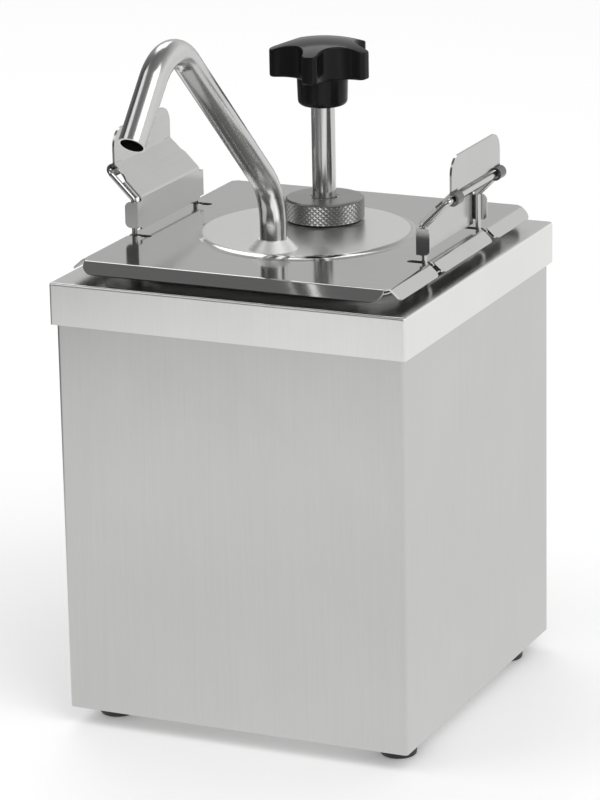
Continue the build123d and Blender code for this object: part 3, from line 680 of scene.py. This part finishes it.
class Workshop:
    """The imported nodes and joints, the shared effect groups and the common steps on pieces.

    Attributes:
        WELD_DISTANCE: Corners of triangles closer than this become one.
        CREASE_ANGLE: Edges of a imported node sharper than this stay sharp, in radians.
        FLAT_WEIGHT: Lets the largest face at a corner set its normal.
        EQUAL_AREAS: Faces whose areas differ by less than this count alike there.
        PIECE_CREASE_ANGLE: Edges of a new piece sharper than this stay sharp, in radians.
    """

    WELD_DISTANCE = 0.001 * MM
    CREASE_ANGLE = math.radians(32.0)
    FLAT_WEIGHT = 100
    EQUAL_AREAS = 2.0 * MM * MM
    PIECE_CREASE_ANGLE = math.radians(35.0)

    def __init__(self, frame: dict) -> None:
        """Keeps the frame's nodes and joints and builds the effect groups.
        """
        self.nodes = frame["nodes"]
        self.joints = {joint["name"]: joint for joint in frame["record"]["behaviour"]["joints"]}
        self.groups = EffectGroups()

    def dress(self, finish: SteelFinish | TurnedFinish | MouldedFinish,
              *names: str) -> bpy.types.Material:
        """Puts one finish on the named nodes.

        Args:
            finish: The finish to build.
            *names: The nodes that get it.

        Returns:
            The finish's material.
        """
        material = finish.build(self.groups)
        for name in names:
            part = self.nodes[name]
            part.data.materials.clear()
            part.data.materials.append(material)
            LOG.info("%s is dressed in %s", name, finish.name)
        return material

    def smooth(self, *names: str) -> None:
        """Shades nodes smoothly through modifiers: creases stay sharp and flat faces stay flat.

        Args:
            *names: The nodes to smooth.
        """
        for name in names:
            part = self.nodes[name]
            weld = part.modifiers.new("weld", "WELD")
            weld.merge_threshold = self.WELD_DISTANCE
            split = part.modifiers.new("creases", "EDGE_SPLIT")
            split.split_angle = self.CREASE_ANGLE
            level = part.modifiers.new("flats", "WEIGHTED_NORMAL")
            level.weight = self.FLAT_WEIGHT
            level.thresh = self.EQUAL_AREAS
            part.data.polygons.foreach_set("use_smooth", [True] * len(part.data.polygons))

    def middle(self, name: str) -> Vector:
        """Middle of a node's box.

        Args:
            name: The node.

        Returns:
            The middle's place.
        """
        low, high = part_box(name)
        return (Vector(low) + Vector(high)) / 2

    @staticmethod
    def finish_piece(piece: bpy.types.Object, name: str, body: str, slot: str,
                     material: bpy.types.Material) -> None:
        """Names a new piece, clears its place, dresses it and lets it ride on its body.

        Args:
            piece: The modelled piece.
            name: Its name.
            body: The body that it rides on.
            slot: The record's material slot; not used.
            material: Its material.
        """
        piece.name = name
        piece.data.name = name
        bpy.ops.object.select_all(action="DESELECT")
        piece.select_set(True)
        bpy.context.view_layer.objects.active = piece
        bpy.ops.object.transform_apply(location=True, rotation=True, scale=True)
        bpy.ops.object.shade_smooth_by_angle(angle=Workshop.PIECE_CREASE_ANGLE)
        piece.data.materials.clear()
        piece.data.materials.append(material)
        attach(piece, body)
        LOG.info("%s is built and rides on %s", name, body)


@dataclass
class Housing:
    """Sheet housing with its rim, base, feet and the food pan.

    Attributes:
        wall: Finish of the walls.
        rim: Finish of the rim band.
        ledge_depth: How far below the rim's top the ledge's own surface begins.
        ledge_painted_shade_gain: The ledge's tone as a share of the band's, darker as a painted shade
            under the lid's flange.
        ledge_roughness: The ledge's roughness.
        base: Finish of the base sheet.
        fastener: Finish of screws and nuts.
        foot: Finish of the feet.
        pan: Finish of the food pan.
    """

    wall: SteelFinish = SteelFinish("housing_steel", tone=0.61, roughness=0.34, grain=Grain.UPRIGHT,
                                    fine_scale=3400.0, depth=0.06, tone_change=0.06, patch_change=0.04)
    rim: SteelFinish = SteelFinish("rim_steel", tone=0.84, roughness=0.33, grain=Grain.UPRIGHT,
                                   fine_scale=3400.0, depth=0.05, tone_change=0.06)
    ledge_depth: float = 4.6 * MM
    ledge_painted_shade_gain: float = 0.8
    ledge_roughness: float = 0.22
    base: SteelFinish = SteelFinish("base_steel", tone=0.55, roughness=0.4, grain=Grain.ACROSS,
                                    marks=0.06)
    fastener: SteelFinish = SteelFinish("fastener_steel", tone=0.55, roughness=0.35)
    foot: MouldedFinish = MouldedFinish("foot_rubber", colour=(0.018, 0.018, 0.018), roughness=0.6)
    pan: SteelFinish = SteelFinish("pan_steel", tone=0.62, roughness=0.26, patch_change=0.1)

    def build(self, shop: Workshop) -> None:
        """Dresses the housing's nodes.

        Args:
            shop: The workshop.
        """
        rim_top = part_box("rim_frame")[1][2]
        # The ledge's darker tone is painted shade under the lid's flange; its lower roughness is its own.
        ledge = UpperZone(self.ledge_painted_shade_gain, self.ledge_roughness, height=rim_top - self.ledge_depth)
        shop.dress(self.wall, "housing_body")
        shop.dress(replace(self.rim, zone=ledge), "rim_frame")
        shop.dress(self.base, "base_plate")
        shop.dress(self.fastener, "foot_screws", "foot_nuts", "piston_nut")
        shop.dress(self.foot, "front_left_foot", "front_right_foot", "back_left_foot", "back_right_foot")
        shop.dress(self.pan, "food_pan")
        shop.smooth("rim_frame", "housing_body", "food_pan")


@dataclass
class Lid:
    """Lid with its gasket and the raised panel.

    Attributes:
        sheet: Finish of the lid.
        panel_radius: Radius of the raised panel's flat top.
        panel_painted_sheen_gain: The panel's tone as a share of the sheet's, lighter as a painted sheen
            on its satin spin.
        panel_roughness: The panel's roughness.
        gasket: Finish of the gasket.
    """

    sheet: SteelFinish = SteelFinish("lid_steel", tone=0.56, roughness=0.11, grain=Grain.ACROSS,
                                     depth=0.02, tone_change=0.06, marks=0.04)
    panel_radius: float = 55.8 * MM
    panel_painted_sheen_gain: float = 1.42
    panel_roughness: float = 0.24
    gasket: MouldedFinish = MouldedFinish("gasket_rubber", colour=(0.012, 0.012, 0.012), roughness=0.5)

    def build(self, shop: Workshop) -> None:
        """Dresses the lid and its gasket.

        Args:
            shop: The workshop.
        """
        middle = shop.middle("lid")
        # The panel's lighter tone is a painted sheen; its higher roughness is its own satin finish.
        panel = RoundZone(self.panel_painted_sheen_gain, self.panel_roughness, axis=(middle.x, middle.y),
                          radius=self.panel_radius)
        shop.dress(replace(self.sheet, zone=panel), "lid")
        shop.dress(self.gasket, "lid_gasket")
        shop.smooth("lid")


@dataclass
class Clips:
    """The two wire bails and their lever plates.

    Attributes:
        wire: Finish of the bails.
        lever: Finish of the lever plates.
        curl_radius: Outer radius of the curls round the wire.
        curl_start: How far from the lever's middle the curls begin.
        curl_painted_shade_gain: The curls' tone as a share of the plates', darker as a painted shade
            where the sheet wraps round under the wire.
        curl_roughness: The curls' roughness.
    """

    wire: SteelFinish = SteelFinish("bail_wire", tone=0.58, roughness=0.15, depth=0.02)
    lever: SteelFinish = SteelFinish("lever_steel", tone=0.55, roughness=0.17, grain=Grain.DEEP,
                                     depth=0.02, tone_change=0.05, marks=0.03)
    curl_radius: float = 4.1 * MM
    curl_start: float = 25.8 * MM
    curl_painted_shade_gain: float = 0.30
    curl_roughness: float = 0.24

    def build(self, shop: Workshop) -> None:
        """Dresses the clips.

        Args:
            shop: The workshop.
        """
        reach, middle, height = shop.joints["right_lever_tip"]["pos_m"]
        # The curls are the same steel as the plates; their darker tone is painted shade.
        curl = CurlZone(self.curl_painted_shade_gain, self.curl_roughness, reach=reach, middle=middle,
                        start=self.curl_start, height=height, radius=self.curl_radius)
        shop.dress(self.wire, "right_bail", "left_bail")
        shop.dress(replace(self.lever, zone=curl), "right_lever", "left_lever")
        shop.smooth("right_bail", "left_bail", "right_lever", "left_lever")


@dataclass
class Spout:
    """Bent tube with the cone at its foot.

    Attributes:
        tube: Finish of the tube.
        cone: Finish of the cone.
    """

    tube: SteelFinish = SteelFinish("spout_steel", tone=0.60, roughness=0.19, depth=0.01,
                                    patch_change=0.04)
    cone: SteelFinish = SteelFinish("cone_steel", tone=0.92, roughness=0.46, depth=0.02)

    def build(self, shop: Workshop) -> None:
        """Dresses the tube and the cone.

        Args:
            shop: The workshop.
        """
        shop.dress(self.tube, "spout_tube")
        shop.dress(self.cone, "spout_cone")
        shop.smooth("spout_tube", "spout_cone")


@dataclass
class Pump:
    """Barrel, valves, plunger, collar and knob, with the coils and threads that the solids leave plain.

    Attributes:
        metal: Finish of the barrel, the valves and the boss.
        ball: Finish of the valves' balls.
        wire: Finish of the return spring.
        rod: Finish of the plunger's rod.
        collar: Finish of the knurled collar.
        insert: Finish of the knob's bush.
        bush: Finish of the rod's guide.
        plastic: Finish of the piston and its washer.
        seal: Finish of the seals.
        knob: Finish of the knob.
        wire_radius: Radius of the spring's wire.
        wire_sides: Sides of the wire's section.
        coils: Turns of the spring.
        dead_coils: Closed turns at each end.
        dead_spread: Pitch of the closed turns as a multiple of the wire's thickness.
        boss_radius: Radius of the boss's thread at its root.
        thread_pitch: The collar rises by this much in one turn.
        thread_turns: Turns of the boss's thread.
        thread_rise: How far the thread's crest stands out of the boss.
        thread_sink: How far the crest's middle lies inside the boss.
        thread_drop: How far below the boss's top the crest ends.
        thread_sides: Sides of the crest's section.
    """

    metal: SteelFinish = SteelFinish("pump_steel", tone=0.6, roughness=0.26)
    ball: SteelFinish = SteelFinish("ball_steel", tone=0.75, roughness=0.06)
    wire: SteelFinish = SteelFinish("spring_steel", tone=0.55, roughness=0.25)
    rod: SteelFinish = SteelFinish("rod_steel", tone=0.62, roughness=0.15, grain=Grain.UPRIGHT,
                                   depth=0.01)
    collar: TurnedFinish = TurnedFinish("collar_steel", colour=(0.30, 0.30, 0.297), roughness=0.32)
    insert: TurnedFinish = TurnedFinish("insert_brass", colour=(0.7, 0.52, 0.24), roughness=0.3)
    bush: MouldedFinish = MouldedFinish("bush_plastic", colour=(0.75, 0.75, 0.72), roughness=0.45)
    plastic: MouldedFinish = MouldedFinish("piston_plastic", colour=(0.8, 0.8, 0.77), roughness=0.4)
    seal: MouldedFinish = MouldedFinish("seal_rubber", colour=(0.02, 0.02, 0.02), roughness=0.5)
    knob: MouldedFinish = MouldedFinish("knob_plastic", colour=(0.006, 0.006, 0.0065), roughness=0.16,
                                        texture_scale=700.0, texture_depth=0.03, specular=0.17)
    wire_radius: float = 1.1 * MM
    wire_sides: int = 10
    coils: int = 10
    dead_coils: float = 1.0
    dead_spread: float = 1.01
    boss_radius: float = 17.0 * MM
    thread_pitch: float = 1.5 * MM
    thread_turns: int = 4
    thread_rise: float = 0.35 * MM
    thread_sink: float = 0.1 * MM
    thread_drop: float = 0.8 * MM
    thread_sides: int = 6

    def build(self, shop: Workshop) -> None:
        """Dresses the pump's nodes and builds its fine pieces.

        Args:
            shop: The workshop.
        """
        middle = shop.middle("plunger_rod")
        axis = (middle.x, middle.y)
        metal = shop.dress(self.metal, "pump_mount_boss", "pump_barrel", "valve_body", "inlet_seat",
                           "ball_retainer_pin", "outlet_seat", "discharge_union", "rod_stop_ring")
        shop.dress(self.ball, "inlet_ball", "outlet_ball")
        wire = shop.dress(self.wire, "return_spring")
        shop.dress(self.rod, "plunger_rod")
        shop.dress(replace(self.collar, axis=axis), "knurled_collar")
        shop.dress(replace(self.insert, axis=axis), "knob_insert")
        shop.dress(self.bush, "rod_guide_bush")
        shop.dress(self.plastic, "piston", "spring_seat_washer")
        shop.dress(self.seal, "rod_wiper_seal", "lower_piston_seal", "upper_piston_seal")
        shop.dress(self.knob, "knob")
        shop.smooth("plunger_rod", "knob", "rod_guide_bush")
        self.wind_spring(wire)
        self.cut_thread(shop, metal)

    def wind_spring(self, material: bpy.types.Material) -> None:
        """Winds the return spring with closed end turns.

        Args:
            material: The wire's material.
        """
        low, high = (Vector(corner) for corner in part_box("return_spring"))
        middle = (low + high) / 2
        height = high.z - low.z
        wire = 2 * self.wire_radius
        rise = height - wire
        radius = (high.x - low.x) / 2 - self.wire_radius
        coil = self.sweep_turns(self.wire_radius, radius, self.coils, rise, self.wire_sides)
        self.close_ends(coil, rise, self.dead_coils * wire * self.dead_spread)
        coil.location = (middle.x, middle.y, low.z + self.wire_radius)
        Workshop.finish_piece(coil, "spring_coils", "lid", "spring_steel", material)
        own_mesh(coil)
        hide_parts("return_spring")

    def close_ends(self, coil: bpy.types.Object, rise: float, dead_rise: float) -> None:
        """Lays the end turns of an even winding close together and spreads the rest between them.

        Args:
            coil: The winding, which starts at z = 0.
            rise: Its rise over all the turns.
            dead_rise: The rise of the closed turns at each end.
        """
        dead_share = self.dead_coils / self.coils
        for vertex in coil.data.vertices:
            share = min(max(vertex.co.z / rise, 0.0), 1.0)
            if share < dead_share:
                eased = share / dead_share * dead_rise
            elif share > 1.0 - dead_share:
                eased = rise - (1.0 - share) / dead_share * dead_rise
            else:
                live = (share - dead_share) / (1.0 - 2 * dead_share)
                eased = dead_rise + live * (rise - 2 * dead_rise)
            vertex.co.z += eased - share * rise

    def cut_thread(self, shop: Workshop, material: bpy.types.Material) -> None:
        """Lays the thread's crest round the boss, which shows when the collar is off.

        Args:
            shop: The workshop.
            material: The boss's material.
        """
        axis = shop.middle("pump_mount_boss")
        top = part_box("pump_mount_boss")[1][2]
        height = self.thread_turns * self.thread_pitch
        crest = self.sweep_turns(self.thread_rise + self.thread_sink, self.boss_radius - self.thread_sink,
                                 self.thread_turns, height, self.thread_sides)
        crest.location = (axis.x, axis.y, top - height - self.thread_drop)
        Workshop.finish_piece(crest, "boss_thread", "lid", "pump_steel", material)

    @staticmethod
    def sweep_turns(thickness: float, radius: float, turns: int, height: float, sides: int,
                    steps: int = 40) -> bpy.types.Object:
        """Winds a round section about the Z axis.

        Args:
            thickness: Radius of the section.
            radius: Radius of the winding.
            turns: Number of turns.
            height: Rise over all the turns.
            sides: Sides of the section.
            steps: Steps in one turn.

        Returns:
            The closed winding, which starts at z = 0.
        """
        bpy.ops.object.select_all(action="DESELECT")
        bpy.ops.mesh.primitive_circle_add(vertices=sides, radius=thickness, fill_type="NOTHING",
                                          location=(radius, 0.0, 0.0), rotation=(math.pi / 2, 0.0, 0.0))
        winding = bpy.context.object
        bpy.ops.object.transform_apply(location=True, rotation=True, scale=True)
        screw = winding.modifiers.new("turns", "SCREW")
        screw.axis = "Z"
        screw.iterations = turns
        screw.screw_offset = height / turns
        screw.steps = steps
        screw.render_steps = steps
        screw.use_merge_vertices = False
        bpy.ops.object.modifier_apply(modifier="turns")
        bpy.ops.object.mode_set(mode="EDIT")
        bpy.ops.mesh.select_all(action="SELECT")
        bpy.ops.mesh.fill_holes(sides=sides)
        bpy.ops.mesh.normals_make_consistent(inside=False)
        bpy.ops.object.mode_set(mode="OBJECT")
        return winding


@dataclass(frozen=True)
class Lamp:
    """Square soft lamp that the camera doesn't see.

    Attributes:
        name: The lamp's name.
        place: The lamp's place.
        size: Length of its sides.
        power: Power in watts.
    """

    name: str
    place: tuple[float, float, float]
    size: float
    power: float

    def hang(self, target: Vector) -> None:
        """Hangs the lamp.

        Args:
            target: What it points at.
        """
        data = bpy.data.lights.new(self.name, "AREA")
        data.size = self.size
        data.energy = self.power
        lamp = bpy.data.objects.new(self.name, data)
        bpy.context.scene.collection.objects.link(lamp)
        lamp.visible_camera = False
        lamp.location = self.place
        lamp.rotation_mode = "QUATERNION"
        lamp.rotation_quaternion = (Vector(self.place) - target).to_track_quat("Z", "Y")


@dataclass
class Studio:
    """Pale floor, soft lamps, a shaped surround and the camera.

    Polished steel shows what stands round it, so gloss sees a room of its own: a dark front and
    left, a bright back and right, a darker ceiling and a bright table under the dispenser.

    Attributes:
        azimuth: Camera's angle about Z, in degrees.
        elevation: Camera's angle above the level, in degrees.
        roll: Camera's turn about its own line of sight, in degrees.
        eye: Camera's place, counted from the housing's middle on the floor.
        lens: Focal length in millimetres.
        clip: Nearest and farthest distance that the camera sees.
        surround: Brightness of the room by the sine of the angle above the level.
        slant: How far the dark front turns towards the left.
        front_edge: Where the dark front begins and ends, along the slanted direction.
        front_share: How bright the front is, against behind.
        overhead_edge: Sines between which the front's darkness fades upwards.
        side_edge: Where the left half turns into the right one, along X.
        side_shares: How bright the left half and the right half are.
        far_left_edge: Where the dark far left ends, along X.
        far_left_share: How bright the far left is.
        soft_strength: Brightness of the surround for matt faces.
        lamp_target: What the lamps point at.
        lamps: The lamps.
        floor_size: Length of the floor's sides.
        floor_grey: The floor's grey.
        floor_glow: Added to the floor for camera and glass.
        table_reach: How far the bright table reaches to the front.
        table_softness: Half the width over which it ends there.
        table_left_edge: X between which it begins from the left.
        table_painted_shadow_edge: Slanted distances between which the table's bright front turns into the
            dimmer part near the dispenser, which is a painted shadow.
        table_glow_and_painted_shadow: Brightness of the table in front and behind; the dimmer value
            behind is a painted shadow round the dispenser.
    """

    azimuth: float = 24.38
    elevation: float = 16.77
    roll: float = 1.1
    eye: tuple[float, float, float] = (0.82855, -1.84097, 0.77094)
    lens: float = 176.65
    clip: tuple[float, float] = (0.1, 30.0)
    surround: tuple[tuple[float, float], ...] = (
        (0.0, 0.90), (0.15, 0.95), (0.40, 0.95), (0.60, 0.62), (0.85, 0.30), (0.95, 0.27), (1.0, 0.26)
    )
    slant: float = 0.4
    front_edge: tuple[float, float] = (-0.30, -0.03)
    front_share: float = 0.16
    overhead_edge: tuple[float, float] = (0.45, 0.80)
    side_edge: tuple[float, float] = (-0.5, 0.5)
    side_shares: tuple[float, float] = (0.62, 1.05)
    far_left_edge: tuple[float, float] = (-0.85, -0.50)
    far_left_share: float = 0.3
    soft_strength: float = 0.72
    lamp_target: tuple[float, float, float] = (0.0, 0.0, 0.2)
    lamps: tuple[Lamp, ...] = (
        Lamp("key_lamp", place=(1.9, -1.1, 2.2), size=2.2, power=32.0),
        Lamp("fill_lamp", place=(-1.9, -1.3, 2.0), size=2.0, power=14.0),
        Lamp("back_lamp", place=(-1.2, 2.0, 2.6), size=1.6, power=14.0),
    )
    floor_size: float = 12.0
    floor_grey: float = 0.86
    floor_glow: float = 0.13
    table_reach: float = 1.16
    table_softness: float = 0.12
    table_left_edge: tuple[float, float] = (-0.62, -0.40)
    table_painted_shadow_edge: tuple[float, float] = (-0.70, -0.35)
    table_glow_and_painted_shadow: tuple[float, float] = (1.25, 0.92)

    def place_camera(self, middle: Vector) -> None:
        """Makes the scene's camera at the photograph's angle.

        Args:
            middle: The housing's middle.
        """
        turn, rise = math.radians(self.azimuth), math.radians(self.elevation)
        lean = math.radians(self.roll)
        back = Vector((math.sin(turn) * math.cos(rise), -math.cos(turn) * math.cos(rise), math.sin(rise)))
        right = Vector((math.cos(turn), math.sin(turn), 0.0))
        up = back.cross(right)
        side = right * math.cos(lean) - up * math.sin(lean)
        top = right * math.sin(lean) + up * math.cos(lean)
        data = bpy.data.cameras.new("camera")
        data.lens = self.lens
        data.clip_start, data.clip_end = self.clip
        camera = bpy.data.objects.new("camera", data)
        bpy.context.scene.collection.objects.link(camera)
        place = Vector((middle.x, middle.y, 0.0)) + Vector(self.eye)
        turned = Matrix((side, top, back)).transposed().to_4x4()
        camera.matrix_world = Matrix.Translation(place) @ turned
        bpy.context.scene.camera = camera

    def slanted(self, sheet: NodeSheet, across: SOCKET, deep: SOCKET) -> SOCKET:
        """Measures along Y, turned towards the left by the slant.

        Args:
            sheet: The sheet to place nodes in.
            across: X.
            deep: Y.

        Returns:
            The slanted measure.
        """
        return sheet.math("ADD", deep, sheet.math("MULTIPLY", across, self.slant))

    def room_colour(self, sheet: NodeSheet, rise: SOCKET) -> SOCKET:
        """Shades the room by height.

        Args:
            sheet: The world's sheet.
            rise: Z of the direction.

        Returns:
            The room's colour.
        """
        ramp = sheet.add("ShaderNodeValToRGB", {"Fac": rise})
        stops = ramp.color_ramp.elements
        while len(stops) < len(self.surround):
            stops.new(1.0)
        for stop, (position, grey) in zip(stops, self.surround):
            stop.position = position
            stop.color = (grey, grey, grey, 1.0)
        return ramp.outputs["Color"]

    def room_strength(self, sheet: NodeSheet, across: SOCKET, deep: SOCKET, rise: SOCKET) -> SOCKET:
        """Darkens the room in front and to the left.

        Args:
            sheet: The world's sheet.
            across: X of the direction.
            deep: Y of the direction.
            rise: Z of the direction.

        Returns:
            The room's strength.
        """
        front = sheet.ease(self.slanted(sheet, across, deep), *self.front_edge, self.front_share, 1.0)
        front = sheet.math("MAXIMUM", front, sheet.ease(rise, *self.overhead_edge))
        side = sheet.ease(across, *self.side_edge, *self.side_shares)
        far_left = sheet.ease(across, *self.far_left_edge, self.far_left_share, 1.0)
        return sheet.math("MULTIPLY", front, sheet.math("MULTIPLY", side, far_left))

    def light_world(self) -> None:
        """Makes the surround: white for camera and glass, soft for matt faces, the room for gloss."""
        world = bpy.data.worlds.new("studio")
        bpy.context.scene.world = world
        world.use_nodes = True
        sheet = NodeSheet(world.node_tree)
        path = sheet.add("ShaderNodeLightPath").outputs
        across, deep, rise = sheet.split(sheet.add("ShaderNodeTexCoord").outputs["Generated"])
        looks = (
            {"Color": self.room_colour(sheet, rise),
             "Strength": self.room_strength(sheet, across, deep, rise)},
            {"Color": WHITE, "Strength": self.soft_strength},
            {"Color": WHITE, "Strength": 1.0},
        )
        room, soft, white = (
            sheet.add("ShaderNodeBackground", look).outputs["Background"] for look in looks
        )
        lit = sheet.mix_shaders(path["Is Glossy Ray"], soft, room)
        plain = sheet.math("MAXIMUM", path["Is Camera Ray"], path["Is Transmission Ray"])
        sheet.add("ShaderNodeOutputWorld", {"Surface": sheet.mix_shaders(plain, lit, white)})

    def table_strength(self, sheet: MaterialSheet) -> SOCKET:
        """Brightness of the table that gloss sees in the floor's place, dimmed near the dispenser by a
        painted shadow.

        Args:
            sheet: The floor's sheet.

        Returns:
            The table's strength.
        """
        across, deep, _ = sheet.split(sheet.place)
        forward = self.slanted(sheet, across, deep)
        edge = sheet.ease(forward, -self.table_reach - self.table_softness,
                          -self.table_reach + self.table_softness, self.front_share, 1.0)
        left = sheet.ease(across, *self.table_left_edge, self.front_share, 1.0)
        # Painted shadow: the table's glow is dimmer near the dispenser than in front of it.
        shade = sheet.ease(forward, *self.table_painted_shadow_edge, *self.table_glow_and_painted_shadow)
        return sheet.math("MULTIPLY", shade, sheet.math("MINIMUM", edge, left))

    def lay_floor(self) -> None:
        """Lays the pale floor, which keeps the dispenser's shadow."""
        bpy.ops.object.select_all(action="DESELECT")
        bpy.ops.mesh.primitive_plane_add(size=self.floor_size, location=(0.0, 0.0, 0.0))
        floor = bpy.context.object
        floor.name = "floor"
        sheet = MaterialSheet("floor")
        path = sheet.add("ShaderNodeLightPath").outputs
        seen = sheet.math("MAXIMUM", path["Is Camera Ray"], path["Is Transmission Ray"])
        glow, table = (
            sheet.add("ShaderNodeEmission", {"Strength": strength}).outputs["Emission"]
            for strength in (sheet.math("MULTIPLY", seen, self.floor_glow), self.table_strength(sheet))
        )
        grey = (self.floor_grey, self.floor_grey, self.floor_grey, 1.0)
        matt = sheet.add("ShaderNodeBsdfDiffuse", {"Color": grey}).outputs["BSDF"]
        both = sheet.add("ShaderNodeAddShader", {0: matt, 1: glow}).outputs["Shader"]
        sheet.surface(sheet.mix_shaders(path["Is Glossy Ray"], both, table))
        floor.data.materials.append(sheet.material)

    def build(self, middle: Vector) -> None:
        """Builds the whole studio.

        Args:
            middle: The housing's middle.
        """
        bpy.context.scene.view_settings.view_transform = "Standard"
        self.place_camera(middle)
        self.light_world()
        for lamp in self.lamps:
            lamp.hang(Vector(self.lamp_target))
        self.lay_floor()
        LOG.info("the studio is lit")


def main() -> None:
    """Builds the dispenser's looks and its studio."""
    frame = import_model()
    shop = Workshop(frame)
    for assembly in (Housing(), Lid(), Clips(), Spout(), Pump()):
        assembly.build(shop)
    Studio().build(shop.middle("housing_body"))


if __name__ == "__main__":
    logging.basicConfig(level=logging.INFO, format="%(message)s")
    main()
